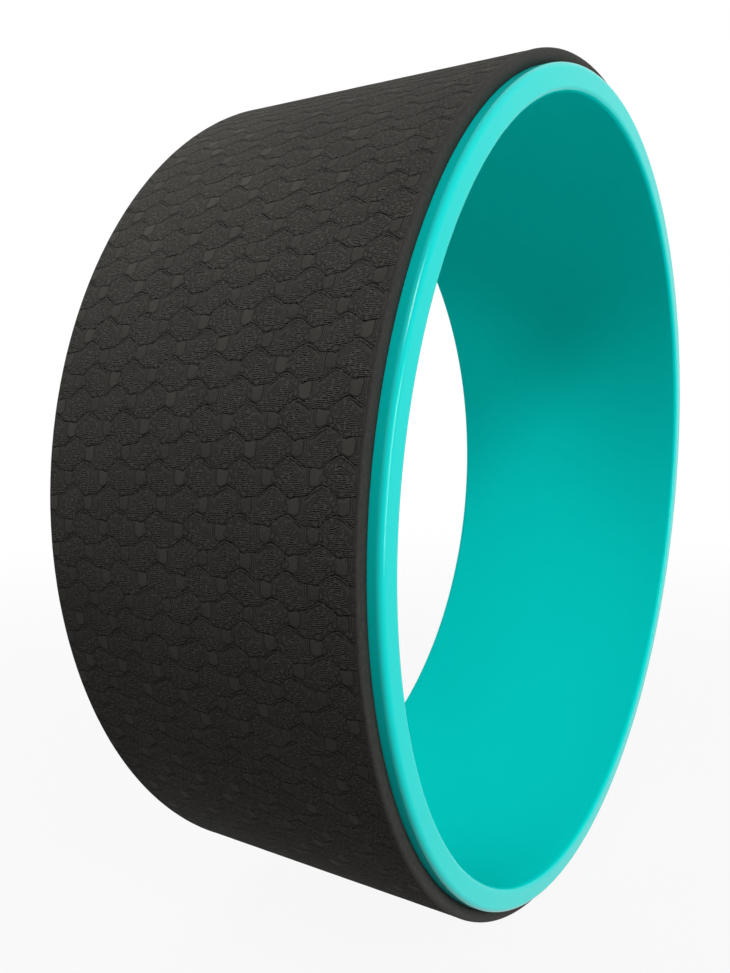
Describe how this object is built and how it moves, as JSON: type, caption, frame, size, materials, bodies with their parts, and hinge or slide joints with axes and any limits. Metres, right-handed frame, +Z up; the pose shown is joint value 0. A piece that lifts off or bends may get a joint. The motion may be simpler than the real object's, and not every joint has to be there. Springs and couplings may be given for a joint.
{
  "type": "yoga wheel",
  "caption": "Rigid plastic yoga wheel: a wide smooth hoop with rounded rims and a cushioned foam tread, for back bends, stretching and balance.",
  "frame": {"origin": "centre of the bore, halfway between the two rim faces", "axes": "+Y along the wheel's axis, +Z up with the wheel standing on its tread, +X across; the tread's butt joint is at -X"},
  "size_m": [0.33, 0.127, 0.33],
  "materials": {
    "hoop_plastic": "moulded, glossy at the rims and matt in the bore",
    "tread_foam": "matt closed-cell foam, embossed",
    "adhesive": "cured contact adhesive, dull"
  },
  "bodies": {
    "root": {"hoop": "hoop_plastic", "tread": "tread_foam", "bond_film": "adhesive", "seam_glue": "adhesive"}
  },
  "joints": []
}
